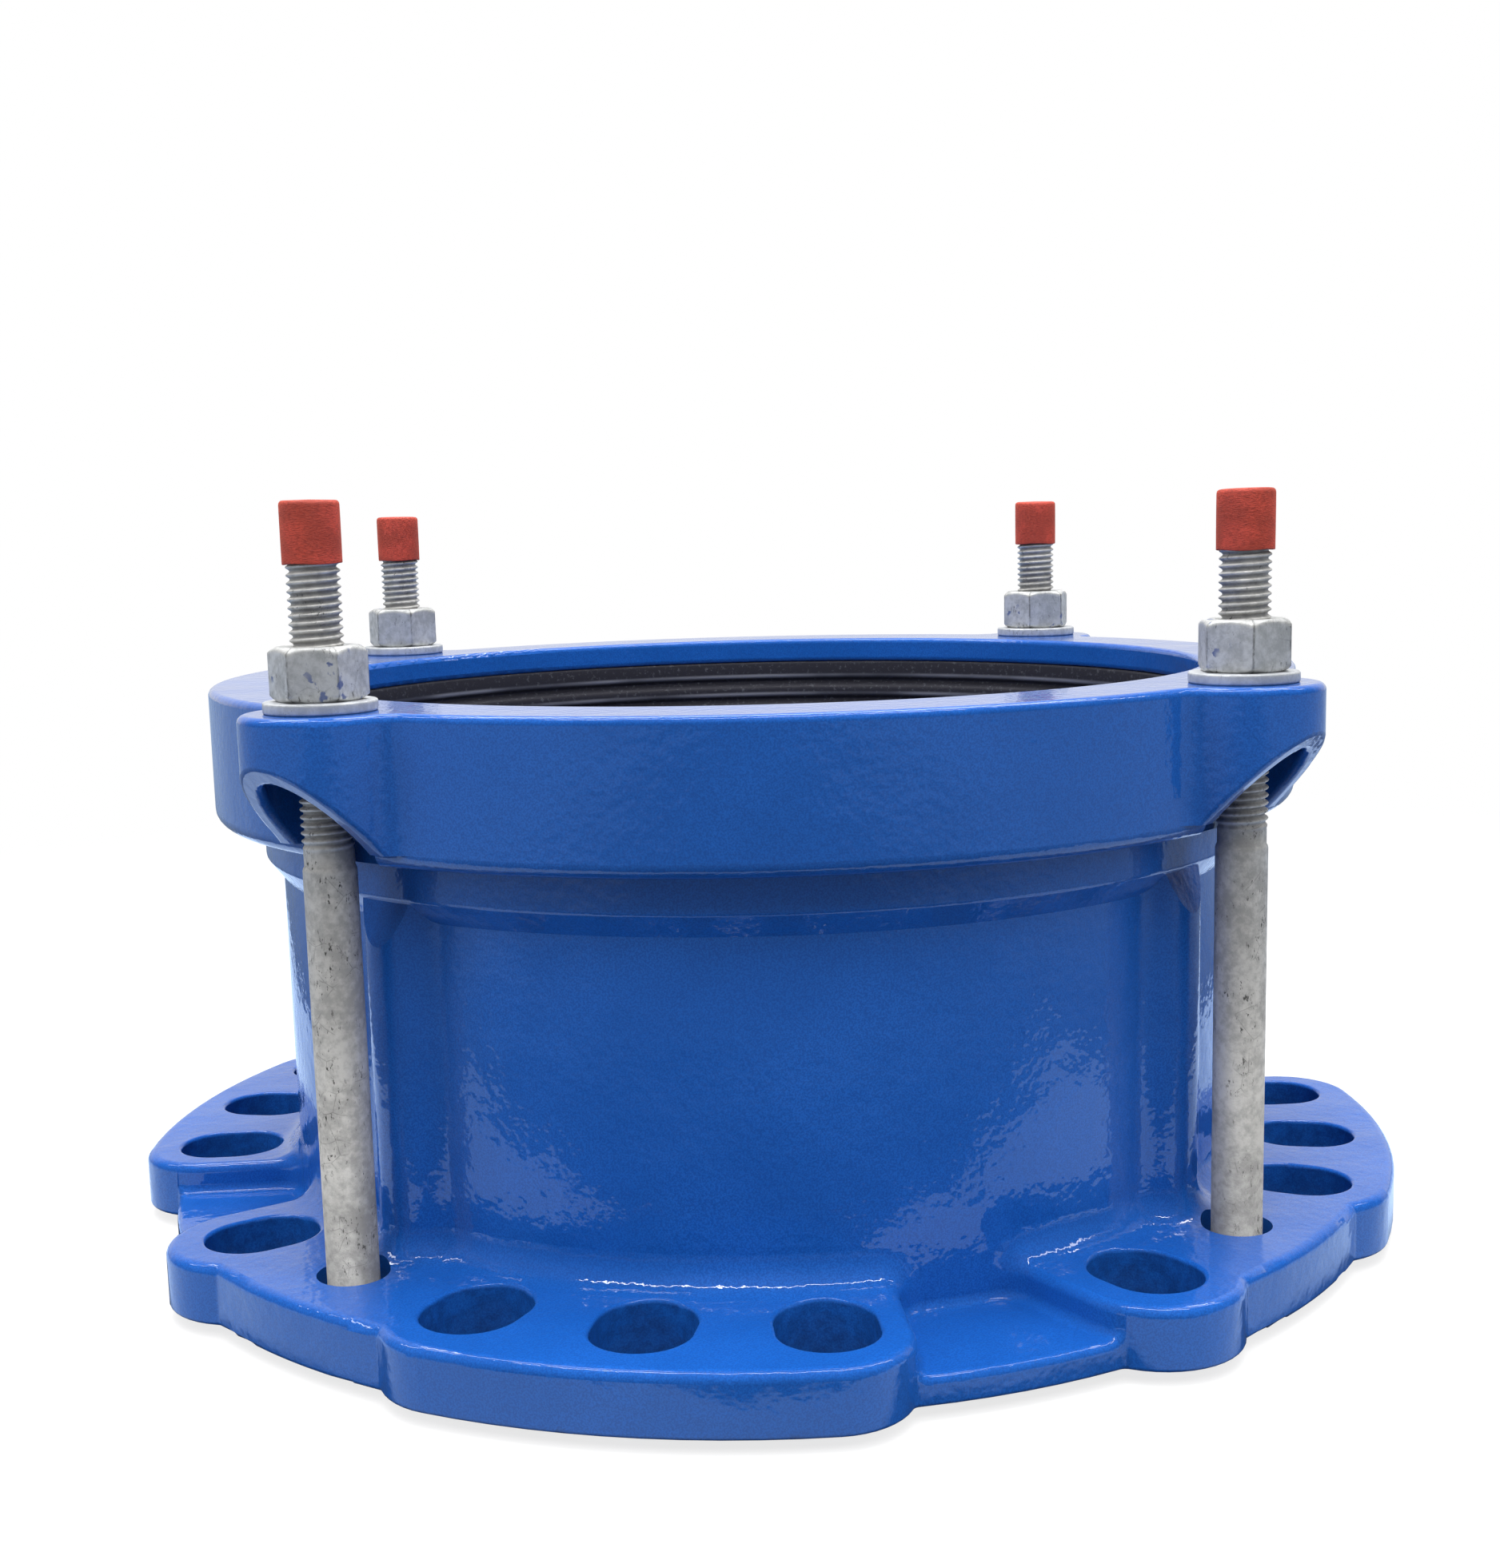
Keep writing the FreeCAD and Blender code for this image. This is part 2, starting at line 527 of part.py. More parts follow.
def whole_model():
    nodes = {"flange_body": flange_body(), "compression_ring": compression_ring(),
             "gasket": gasket()}
    for number, quarter in enumerate(QUARTERS, 1):
        angle = quarter + BOLT_ANGLE
        nodes[f"tie_bolt_{number}"] = tie_bolt(angle)
        nodes[f"washer_{number}"] = washer(angle)
        nodes[f"nut_{number}"] = nut(angle, NUT_TURNS[number - 1])
        nodes[f"cap_{number}"] = cap(angle, CAP_END_GAPS[number - 1])
    return nodes


os.makedirs("parts", exist_ok=True)
for name, shape in whole_model().items():
    shape.exportStep(f"parts/{name}.step")
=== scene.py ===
import math

import bmesh
import bpy
from mathutils import Matrix, Vector


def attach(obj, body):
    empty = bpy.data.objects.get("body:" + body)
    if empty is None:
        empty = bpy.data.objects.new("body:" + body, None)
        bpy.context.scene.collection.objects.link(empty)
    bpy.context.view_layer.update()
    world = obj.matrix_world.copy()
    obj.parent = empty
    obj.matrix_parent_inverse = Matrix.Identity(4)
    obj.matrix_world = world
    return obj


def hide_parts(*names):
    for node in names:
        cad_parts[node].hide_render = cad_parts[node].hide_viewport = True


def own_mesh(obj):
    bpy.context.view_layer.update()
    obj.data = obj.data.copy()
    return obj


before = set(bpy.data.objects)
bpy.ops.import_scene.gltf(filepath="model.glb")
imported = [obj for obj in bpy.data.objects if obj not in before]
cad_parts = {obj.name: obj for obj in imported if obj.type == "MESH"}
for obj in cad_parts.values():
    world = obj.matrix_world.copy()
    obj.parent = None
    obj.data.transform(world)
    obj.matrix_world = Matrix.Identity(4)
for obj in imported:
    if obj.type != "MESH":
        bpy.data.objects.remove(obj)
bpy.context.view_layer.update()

# The part's own frame: Z is the pipe's axis, and the flange's sealing face lies at zero. Lengths are in
# metres, and in millimetres where MM follows or where a comment says so. Angles are in degrees, round Z.
MM = 0.001
# Where the four bolts stand, and how far each nut is turned.
BOLT_CIRCLE = 0.1455
BOLT_ANGLES = (15, 105, 195, 285)
NUT_TURNS = (29.6, 52.1, 36.9, 20.1)
# The flange's slots: their angles up to 45 degrees, beyond which they repeat in the mirror. The painted shade
# on their walls fades out between these distances from a slot's middle, and between these heights.
SLOT_CIRCLE = 0.1475
SLOT_ANGLES = (0, 30, 45)
SLOT_END = (0.0145, 0.0155)
PLATE_TOP = (0.018, 0.02)


def spot(radius, angle):
    """A point on a circle round the pipe's axis, at an angle in degrees."""
    a = math.radians(angle)
    return Vector((radius * math.cos(a), radius * math.sin(a), 0))


# Camera, at the photo's view. FOCAL and CENTRE are in the photo's pixels.
WIDTH, HEIGHT = 1876, 1961
FOCAL = 2459.4
CENTRE = (937.72, 1037.02)
CAMERA_AT = Vector((0.307458, 0.441551, 0.18295))
TURN, YAW, PITCH, ROLL = (math.radians(a) for a in (145.15, -0.16, 8.75, -1.44))
SENSOR_WIDTH = 36


def toward_camera(right, forward, up):
    """A point given from the photo's side: to its right, away from the camera, and up."""
    return Matrix.Rotation(TURN, 3, "Z") @ Vector((right, forward, up))


def add_camera():
    forward = Vector((math.sin(YAW) * math.cos(PITCH), math.cos(YAW) * math.cos(PITCH), -math.sin(PITCH)))
    right = Vector((math.cos(YAW), -math.sin(YAW), 0))
    up = right.cross(forward)
    tilted_right = right * math.cos(ROLL) + up * math.sin(ROLL)
    tilted_up = up * math.cos(ROLL) - right * math.sin(ROLL)
    columns = Matrix([toward_camera(*v) for v in (tilted_right, tilted_up, -forward)]).transposed()
    data = bpy.data.cameras.new("camera")
    data.sensor_fit = "HORIZONTAL"
    data.sensor_width = SENSOR_WIDTH
    data.lens = SENSOR_WIDTH * FOCAL / WIDTH
    data.shift_x = (WIDTH / 2 - CENTRE[0]) / WIDTH
    data.shift_y = (CENTRE[1] - HEIGHT / 2) / WIDTH
    data.clip_start = 0.01
    camera = bpy.data.objects.new("camera", data)
    camera.matrix_world = Matrix.Translation(CAMERA_AT) @ columns.to_4x4()
    bpy.context.collection.objects.link(camera)
    bpy.context.scene.camera = camera


# Materials
def add_node(tree, kind, **settings):
    node = tree.nodes.new(kind)
    for key, value in settings.items():
        setattr(node, key, value)
    return node


def set_range(node, low, high, start, end):
    for name, number in zip(("From Min", "From Max", "To Min", "To Max"), (low, high, start, end)):
        node.inputs[name].default_value = number


class Finish:
    """A procedural material, with short calls for the nodes that it mixes."""

    def __init__(self, name, roughness=0.5, metallic=0.0, specular=0.5):
        self.material = bpy.data.materials.new(name)
        self.material.use_nodes = True
        self.tree = self.material.node_tree
        self.shader = self.tree.nodes["Principled BSDF"]
        self.shader.inputs["Roughness"].default_value = roughness
        self.shader.inputs["Metallic"].default_value = metallic
        self.shader.inputs["Specular IOR Level"].default_value = specular
        self.place = self.add("ShaderNodeTexCoord").outputs["Object"]

    def add(self, kind, **settings):
        return add_node(self.tree, kind, **settings)

    def join(self, value, socket):
        """Links another node's output to a socket, or writes a plain number or colour on it."""
        if hasattr(value, "is_output"):
            self.tree.links.new(value, socket)
        else:
            socket.default_value = value

    def math(self, operation, a, b=0.0):
        node = self.add("ShaderNodeMath", operation=operation)
        self.join(a, node.inputs[0])
        self.join(b, node.inputs[1])
        return node.outputs[0]

    def vector(self, operation, a, b=(0, 0, 0)):
        node = self.add("ShaderNodeVectorMath", operation=operation)
        self.join(a, node.inputs[0])
        self.join(b, node.inputs[1])
        return node.outputs["Value" if operation == "LENGTH" else "Vector"]

    def along(self, vector, direction):
        node = self.add("ShaderNodeSeparateXYZ")
        self.join(vector, node.inputs[0])
        return node.outputs[direction]

    def height(self):
        return self.along(self.place, "Z")

    def radius(self):
        """The distance from the object's own Z axis."""
        return self.vector("LENGTH", self.vector("MULTIPLY", self.place, (1, 1, 0)))

    def turn(self):
        """The angle round the object's own Z axis, in radians."""
        return self.math("ARCTAN2", self.along(self.place, "Y"), self.along(self.place, "X"))

    def noise(self, size, detail=3.0, rough=0.5, place=None):
        """Noise whose bumps are about this many metres across, from 0 to 1."""
        node = self.add("ShaderNodeTexNoise")
        self.join(place or self.place, node.inputs["Vector"])
        node.inputs["Scale"].default_value = 1 / size
        node.inputs["Detail"].default_value = detail
        node.inputs["Roughness"].default_value = rough
        return node.outputs["Fac"]

    def stretched(self, x, y, z):
        node = self.add("ShaderNodeMapping")
        self.join(self.place, node.inputs["Vector"])
        node.inputs["Scale"].default_value = (x, y, z)
        return node.outputs["Vector"]

    def cell_edges(self, size):
        """The distance to the nearest line of a net whose cells are about this many metres across."""
        node = self.add("ShaderNodeTexVoronoi", feature="DISTANCE_TO_EDGE")
        self.join(self.place, node.inputs["Vector"])
        node.inputs["Scale"].default_value = 1 / size
        return node.outputs["Distance"]

    def ramp(self, value, low, high, start=0.0, end=1.0):
        """A smooth step: start where the value is at or under low, end where it is at or over high."""
        node = self.add("ShaderNodeMapRange", interpolation_type="SMOOTHSTEP")
        self.join(value, node.inputs["Value"])
        set_range(node, low, high, start, end)
        return node.outputs["Result"]

    def mix(self, share, a, b):
        """A mix of two colours. The Mix node's sockets 6 and 7 and its output 2 are those for colours."""
        node = self.add("ShaderNodeMix", data_type="RGBA")
        self.join(share, node.inputs["Factor"])
        self.join(a, node.inputs[6])
        self.join(b, node.inputs[7])
        return node.outputs[2]

    def bump(self, height, distance, under=None):
        node = self.add("ShaderNodeBump")
        self.join(height, node.inputs["Height"])
        node.inputs["Distance"].default_value = distance
        node.inputs["Strength"].default_value = 1.0
        if under is not None:
            self.join(under, node.inputs["Normal"])
        return node.outputs["Normal"]

    def glow(self, colour=(1, 1, 1, 1), strength=1.0):
        node = self.add("ShaderNodeEmission")
        self.join(colour, node.inputs["Color"])
        self.join(strength, node.inputs["Strength"])
        return node.outputs[0]

    def mix_shaders(self, share, a, b):
        node = self.add("ShaderNodeMixShader")
        for value, socket in zip((share, a, b), node.inputs):
            self.join(value, socket)
        return node.outputs[0]

    def done(self, colour=None, roughness=None, normal=None, coat_normal=None):
        for value, name in ((colour, "Base Color"), (roughness, "Roughness"),
                            (normal, "Normal"), (coat_normal, "Coat Normal")):
            if value is not None:
                self.join(value, self.shader.inputs[name])
        return self.material


def rgb(r, g, b):
    """A colour given as it looks on screen, from 0 to 255, made linear."""
    return tuple(c / 12.92 if c <= 0.04045 else ((c + 0.055) / 1.055) ** 2.4
                 for c in (r / 255, g / 255, b / 255)) + (1.0,)


def shade(colour, depth):
    return tuple(depth * c for c in colour[:3]) + (1.0,)


GRIME = rgb(70, 70, 68)


def painted_slot_shade(f):
    """Painted shade on the walls inside the flange's slots, blotchy, as a share from 0 to 1."""
    out = f.math("SUBTRACT", f.radius(), SLOT_CIRCLE)
    turn = f.math("PINGPONG", f.turn(), math.pi / 4)
    nearest = 1.0
    for angle in SLOT_ANGLES:
        across = f.math("MULTIPLY", f.math("SUBTRACT", turn, math.radians(angle)), SLOT_CIRCLE)
        squares = f.math("ADD", f.math("MULTIPLY", out, out), f.math("MULTIPLY", across, across))
        nearest = f.math("MINIMUM", nearest, f.math("SQRT", squares))
    level = f.along(f.add("ShaderNodeNewGeometry").outputs["Normal"], "Z")
    upright = f.ramp(f.math("ABSOLUTE", level), 0.2, 0.7, 1.0, 0.0)
    inside = f.math("MULTIPLY", f.ramp(nearest, *SLOT_END, 1.0, 0.0), upright)
    below_top = f.ramp(f.height(), *PLATE_TOP, 1.0, 0.0)
    rough = f.ramp(f.noise(0.0035, detail=4, rough=0.7), 0.38, 0.62, 0.1, 0.42)
    return f.math("MULTIPLY", f.math("MULTIPLY", inside, below_top), rough)


def blue_epoxy(name, cast_roughness, depth):
    """Glossy blue epoxy on a casting: cast_roughness scales the bumps that show through, depth the colour."""
    f = Finish(name, roughness=0.45, specular=0.1)
    f.shader.inputs["Coat Weight"].default_value = 1.0
    f.shader.inputs["Coat Roughness"].default_value = 0.03
    f.shader.inputs["Coat IOR"].default_value = 1.5
    cloud = f.noise(0.035, detail=2)
    grain = f.noise(0.0004, detail=1)
    colour = f.mix(f.ramp(cloud, 0.35, 0.65), shade(rgb(23, 87, 172), depth), shade(rgb(27, 92, 180), depth))
    colour = f.mix(f.ramp(grain, 0.35, 0.65, 0.0, 0.6), colour, shade(rgb(18, 67, 142), depth))
    foot = f.ramp(f.height(), 0.0, 0.006, 1.0, 0.0)
    nick = f.math("MULTIPLY", foot, f.ramp(f.noise(0.0045, detail=3, rough=0.7), 0.60, 0.66))
    colour = f.mix(nick, colour, rgb(28, 30, 38))
    # Painted shade: the walls inside the slots are darkened.
    colour = f.mix(painted_slot_shade(f), colour, rgb(14, 34, 80))
    peel = f.noise(0.0022, detail=1.5, rough=0.5)
    ripple = f.noise(0.006, detail=2, rough=0.5)
    wave = f.noise(0.02, detail=1, rough=0.3)
    normal = f.bump(ripple, 0.18 * MM * cast_roughness, under=f.bump(peel, 0.12 * MM))
    normal = f.bump(wave, 0.6 * MM * cast_roughness, under=normal)
    return f.done(colour, normal=normal, coat_normal=normal)


def dull_zinc(name, light, dark, specks):
    """Hot dip zinc: faintly mottled grey with dark specks, short scratches and a soft, uneven sheen."""
    f = Finish(name, metallic=0.5)
    own_place = f.place
    # Each piece shows its own part of the mottling.
    f.place = f.vector("ADD", f.place, f.add("ShaderNodeObjectInfo").outputs["Random"])
    mottle = f.noise(0.0022, detail=4, rough=0.65)
    cloud = f.noise(0.009, detail=2)
    tone = f.math("ADD", f.math("MULTIPLY", mottle, 0.6), f.math("MULTIPLY", cloud, 0.4))
    colour = f.mix(f.ramp(tone, 0.38, 0.62), dark, light)
    fleck = f.noise(0.0008, detail=3, rough=0.7, place=f.stretched(1, 1, 0.4))
    patch = f.noise(0.007, detail=2)
    marks = f.math("MULTIPLY", f.ramp(fleck, 0.58, 0.66), f.ramp(patch, 0.46, 0.62))
    scratch = f.ramp(f.cell_edges(0.007), 0.0, 0.02, 1.0, 0.0)
    lines = f.math("MULTIPLY", scratch, f.ramp(patch, 0.5, 0.62))
    worn = f.math("MULTIPLY", f.math("MAXIMUM", marks, f.math("MULTIPLY", lines, 0.4)), specks)
    f.colour = f.mix(worn, colour, GRIME)
    f.fleck, f.cloud = fleck, cloud
    f.done(roughness=f.ramp(mottle, 0.3, 0.7, 0.55, 0.4),
           normal=f.bump(tone, 0.2 * MM, under=f.bump(fleck, 0.06 * MM)))
    f.place = own_place
    return f


def bolt_zinc():
    """The bolts' zinc, with painted shade down in the thread and at the foot of the shank."""
    f = dull_zinc("galvanised_bolt_finish", rgb(203, 202, 199), rgb(168, 167, 165), 1.0)
    # Painted shade down in the thread's roots and at the foot of the shank.
    shadow = f.ramp(f.radius(), ROOT, CREST - 0.1 * MM, 0.5, 0.0)
    foot = f.ramp(f.math("ADD", f.height(), f.math("MULTIPLY", f.cloud, 0.03)), 0.02, 0.075, 0.55, 0.0)
    return f.done(f.mix(f.math("MAXIMUM", shadow, foot), f.colour, rgb(96, 97, 98)))


def nut_zinc():
    """The nuts' zinc: painted shade that gives each side its own tone, the corners worn dark, and paint
    dabbed on.
    """
    f = dull_zinc("galvanised_nut_finish", rgb(206, 207, 206), rgb(172, 173, 172), 0.8)
    turn = f.turn()
    # Painted shade: each side of the hexagon is darkened by its own random amount.
    side = f.add("ShaderNodeTexWhiteNoise", noise_dimensions="1D")
    f.join(f.math("FLOOR", f.math("DIVIDE", turn, math.pi / 3)), side.inputs["W"])
    colour = f.mix(f.ramp(side.outputs["Value"], 0.2, 0.8, 0.0, 0.3), f.colour, rgb(140, 143, 146))
    corner = f.ramp(f.math("PINGPONG", turn, math.pi / 6), 0.0, 0.045, 1.0, 0.0)
    worn = f.math("MULTIPLY", corner, f.ramp(f.fleck, 0.4, 0.55, 0.15, 0.65))
    colour = f.mix(worn, colour, GRIME)
    dab = f.math("MULTIPLY", f.ramp(f.noise(0.003, detail=3), 0.6, 0.66), f.ramp(f.cloud, 0.5, 0.56))
    return f.done(f.mix(f.math("MULTIPLY", dab, 0.8), colour, rgb(62, 84, 140)))


def washer_zinc():
    f = dull_zinc("galvanised_washer_finish", rgb(198, 201, 205), rgb(172, 175, 179), 0.6)
    return f.done(f.colour)


def soft_cap(name):
    """Red plastic with a soft sheen and fine rings round it."""
    f = Finish(name, roughness=0.6, specular=0.35)
    f.shader.inputs["Sheen Weight"].default_value = 0.35
    f.shader.inputs["Sheen Roughness"].default_value = 0.35
    f.shader.inputs["Sheen Tint"].default_value = rgb(255, 120, 80)
    rings = f.noise(0.0009, detail=3, rough=0.65, place=f.stretched(1, 1, 4))
    tone = f.noise(0.006, detail=2)
    colour = f.mix(f.ramp(tone, 0.35, 0.65), rgb(152, 59, 46), rgb(182, 70, 56))
    colour = f.mix(f.ramp(rings, 0.42, 0.62, 0.0, 0.75), colour, rgb(124, 46, 38))
    return f.done(colour, normal=f.bump(rings, 0.16 * MM))


def moulded_rubber(name):
    """Black rubber, with a pale band along the ridges inside, partly bloomed rubber and partly painted
    highlight.
    """
    f = Finish(name, roughness=0.5, specular=0.25)
    dust = f.noise(0.0012, detail=3, rough=0.7)
    cloud = f.noise(0.03, detail=2)
    # Painted highlight, partly real blooming: a pale band along each ridge, where the grooves catch light.
    down = f.math("SUBTRACT", (FIRST_GROOVE + 1.8) * MM, f.height())
    ridge = f.ramp(f.math("PINGPONG", down, GROOVE_PITCH / 2 * MM), 0.0, 0.001, 1.0, 0.0)
    bloom_and_highlight = f.math("MULTIPLY", ridge, f.ramp(cloud, 0.3, 0.65, 0.25, 1.0))
    colour = f.mix(bloom_and_highlight, rgb(38, 38, 45), rgb(150, 152, 162))
    colour = f.mix(f.ramp(dust, 0.55, 0.72, 0.0, 0.35), colour, rgb(110, 112, 120))
    return f.done(colour, f.ramp(bloom_and_highlight, 0.0, 1.0, 0.5, 0.3), normal=f.bump(dust, 0.04 * MM))


def paint(thing, material):
    for slot in thing.material_slots:
        slot.material = material


# Meshes. A profile is a list of (radius, height) points, or a function that gives it for an angle.
def weld(mesh):
    """Joins points that lie in one place, so that a piece is closed and faces outwards."""
    joined = bmesh.new()
    joined.from_mesh(mesh)
    bmesh.ops.remove_doubles(joined, verts=joined.verts, dist=0.001 * MM)
    loose = [edge for edge in joined.edges if not edge.link_faces]
    bmesh.ops.delete(joined, geom=loose, context="EDGES")
    bmesh.ops.recalc_face_normals(joined, faces=joined.faces)
    joined.to_mesh(mesh)
    joined.free()


def new_piece(name, shape, material, smooth=True):
    points, faces = shape
    mesh = bpy.data.meshes.new(name)
    mesh.from_pydata(points, [], faces)
    weld(mesh)
    thing = bpy.data.objects.new(name, mesh)
    bpy.context.collection.objects.link(thing)
    mesh.materials.append(material)
    for polygon in mesh.polygons:
        polygon.use_smooth = smooth
    return thing


def place_piece(thing, node, body, at=None, turned=0.0):
    """Puts a piece where the node that it stands for is."""
    if at is not None:
        thing.matrix_world = Matrix.Translation(at) @ Matrix.Rotation(math.radians(turned), 4, "Z")
    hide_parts(node)
    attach(thing, body)


def even_angles(count):
    return [2 * math.pi * i / count for i in range(count)]


def lathe(profile, angles, closed=True):
    """Points and faces of a turned shape, for a closed profile or for one that is open at its ends."""
    points = []
    for a in angles:
        for radius, z in profile(a) if callable(profile) else profile:
            points.append((radius * math.cos(a), radius * math.sin(a), z))
    steps = len(angles)
    rows = len(points) // steps
    faces = []
    for i in range(steps):
        following = (i + 1) % steps
        for j in range(rows if closed else rows - 1):
            k = (j + 1) % rows
            faces.append((i * rows + j, following * rows + j, following * rows + k, i * rows + k))
    return points, faces


def rounded_rows(corners, radius, arc_steps=4):
    """A closed outline with its corners rounded, apart from those on the axis, in metres from millimetres."""
    rows = []
    for i, corner in enumerate(corners):
        here = Vector(corner)
        before = Vector(corners[i - 1]) - here
        after = Vector(corners[(i + 1) % len(corners)]) - here
        cut = min(radius, before.length * 0.45, after.length * 0.45)
        a, b = here + before.normalized() * cut, here + after.normalized() * cut
        shares = [k / arc_steps for k in range(arc_steps + 1)]
        arc = [(1 - t) ** 2 * a + 2 * t * (1 - t) * here + t ** 2 * b for t in shares]
        rows += [here] if corner[0] == 0 else arc
    return [(r * MM, z * MM) for r, z in rows]


def rounded_hexagon(angle, flats, sharpness=90):
    """Distance from the axis to a hexagon's side, with its corners rounded."""
    total = sum(max(math.cos(angle - math.pi / 3 * k - math.pi / 6), 0) ** sharpness for k in range(6))
    return flats / 2 / total ** (1 / sharpness)


def soft_least(a, b, width):
    """The lesser of two lengths, with a rounded change from one to the other."""
    if abs(a - b) >= 20 * width:
        return min(a, b)
    return -width * math.log(math.exp(-a / width) + math.exp(-b / width))


# Tie bolts
THREAD_TOP = 0.1872
THREAD_BOTTOMS = (0.1148, 0.1118, 0.1148, 0.1148)
THREAD_PITCH = 0.00175
CREST, ROOT, NECK, SHANK = 5.85 * MM, 5.0 * MM, 5.55 * MM, 5.95 * MM
END_CHAMFER = 1.2 * MM
HEAD_FLATS = 18.6 * MM
HEAD_HEIGHTS = (3.5 * MM, 11.1 * MM)
# One turn of the thread: how far up the pitch, and how far out from root to crest.
TOOTH = ((0.0, 0.0), (0.14, 0.1), (0.26, 0.45), (0.37, 0.84),
         (0.5, 1.0), (0.63, 0.84), (0.74, 0.45), (0.86, 0.1))
# Angles closer together towards the corners of a hexagon, for the bolts and for the nuts.
BOLT_SIDES = [math.radians(60 * k + a) for k in range(6)
              for a in (0, 1.2, 4, 12, 21, 30, 39, 48, 56, 58.8)]
NUT_SIDES = [math.radians(60 * k + a) for k in range(6)
             for a in (0, 0.5, 1.2, 2.5, 5, 10, 18, 30, 42, 50, 55, 57.5, 58.8, 59.5)]


def thread(bottom):
    """Points and faces of a rolled thread that fades into the neck and into a chamfered end."""
    points, faces = [], []
    steps = len(BOLT_SIDES)
    per_turn = len(TOOTH)
    turns = int((THREAD_TOP - bottom) / THREAD_PITCH) + 2
    rows = turns * per_turn
    for a in BOLT_SIDES:
        for row in range(rows):
            turn, part = divmod(row, per_turn)
            share, rise = TOOTH[part]
            z = bottom + THREAD_PITCH * (turn - 1 + share + a / (2 * math.pi))
            radius = ROOT + (CREST - ROOT) * rise
            start = min(max((z - bottom) / (1.6 * THREAD_PITCH), 0), 1)
            radius = NECK + (radius - NECK) * start
            radius = min(radius, CREST - END_CHAMFER + max(THREAD_TOP - z, 0))
            z = min(max(z, bottom), THREAD_TOP)
            points.append((radius * math.cos(a), radius * math.sin(a), z))
    for i in range(steps):
        for row in range(rows - 1):
            if i < steps - 1:
                a, b = i * rows + row, (i + 1) * rows + row
            elif row + per_turn + 1 < rows:
                # The last side meets the first one a turn further up.
                a, b = i * rows + row, row + per_turn
            else:
                continue
            faces.append((a, b, b + 1, a + 1))
    return points, faces


def head_profile(angle):
    """From the shank's foot round a hexagonal head to the middle of its underside."""
    side = rounded_hexagon(angle, HEAD_FLATS)
    cone = HEAD_FLATS / 2 * 0.96
    face = min(side, cone) * 0.99
    edge = soft_least(side, cone + 0.6 * MM, 0.2 * MM)
    low, high = HEAD_HEIGHTS
    return [(SHANK, high), (face, high), (edge, high - 0.3 * MM), (side, high - 1.2 * MM),
            (side, low + 1.2 * MM), (edge, low + 0.3 * MM), (face, low), (0, low)]


def bolt_shape(thread_bottom):
    """A tie bolt: a threaded end, a neck, a smooth shank and a hexagonal head."""
    end = [(0, THREAD_TOP - 0.3 * MM), (CREST - 2 * END_CHAMFER, THREAD_TOP - 0.15 * MM),
           (CREST - END_CHAMFER, THREAD_TOP)]
    shank = [(NECK, thread_bottom), (NECK, thread_bottom - 3.2 * MM),
             (SHANK - 0.15 * MM, thread_bottom - 3.6 * MM), (SHANK, thread_bottom - 4.2 * MM),
             (SHANK, HEAD_HEIGHTS[1])]
    points, faces = thread(thread_bottom)
    for profile in (end, shank, head_profile):
        more, sides = lathe(profile, BOLT_SIDES, closed=False)
        faces += [tuple(len(points) + k for k in side) for side in sides]
        points += more
    return points, faces


# Nuts
NUT_FLATS = 18.8 * MM
NUT_BOTTOM, NUT_TOP = 0.148, 0.1598
NUT_HOLE = 5.95 * MM
# The mouth of the hole: how far out from the hole's wall, and how deep.
NUT_MOUTH = ((0.9 * MM, 0.0), (0.15 * MM, 0.6 * MM), (0.0, 1.4 * MM))


def nut_profile(angle):
    """A nut's side and hole, with its corners cut by a cone at both ends."""
    side = rounded_hexagon(angle, NUT_FLATS)
    face = NUT_FLATS / 2 * 0.95
    rows = []
    for k in range(21):
        share = k / 20
        z = NUT_BOTTOM + (NUT_TOP - NUT_BOTTOM) * (3 * share ** 2 - 2 * share ** 3)
        cone = face + min(z - NUT_BOTTOM, NUT_TOP - z) * math.sqrt(3)
        rows.append((soft_least(side, cone, 0.12 * MM), z))
    rows.append((face * 0.985, NUT_TOP + 0.02 * MM))
    rows += [(NUT_HOLE + out, NUT_TOP - deep) for out, deep in NUT_MOUTH]
    rows += [(NUT_HOLE + out, NUT_BOTTOM + deep) for out, deep in reversed(NUT_MOUTH)]
    return rows + [(face * 0.985, NUT_BOTTOM)]


# Washers, gasket and caps, in millimetres
WASHER_CORNERS = [(6.5, 145.5), (12.4, 145.5), (12.4, 148.0), (6.5, 148.0)]
WASHER_ROUND = 0.6
# The gasket's outer side is hidden. It leaves room in the seat and under the ring for when it is squashed.
GASKET_BORE, GASKET_FOOT, GASKET_LIP = 119.9, 106.0, 138.0
GASKET_CORNERS = [(GASKET_BORE, GASKET_FOOT), (121.1, GASKET_FOOT), (128.6, 127.8), (128.6, 133.1),
                  (123.6, GASKET_LIP), (GASKET_BORE, GASKET_LIP)]
GASKET_ROUND = 0.8
FIRST_GROOVE, LAST_GROOVE, GROOVE_PITCH, GROOVE_DEPTH = 131.5, 112.0, 6.0, 2.0
GROOVE_HALF_MOUTH, GROOVE_HALF_FLOOR = 1.9, 0.3
CAP_HOLE, CAP_RADIUS, CAP_BELLY = 5.95, 6.5, 6.52
CAP_MOUTH, CAP_ROOF, CAP_END = 174.9, 187.3, 188.7
CAP_ROUND = 1.1
CAP_LIFTS = (2.3, 0.0, 0.0, 0.0)


def gasket_rows():
    """The gasket's profile, from its foot round the outside, and down again over the grooves in its bore."""
    corners = list(GASKET_CORNERS)
    groove = GASKET_BORE + GROOVE_DEPTH
    middle = FIRST_GROOVE
    while middle > LAST_GROOVE:
        corners += [(GASKET_BORE, middle + GROOVE_HALF_MOUTH), (groove, middle + GROOVE_HALF_FLOOR),
                    (groove, middle - GROOVE_HALF_FLOOR), (GASKET_BORE, middle - GROOVE_HALF_MOUTH)]
        middle -= GROOVE_PITCH
    return rounded_rows(corners, GASKET_ROUND)


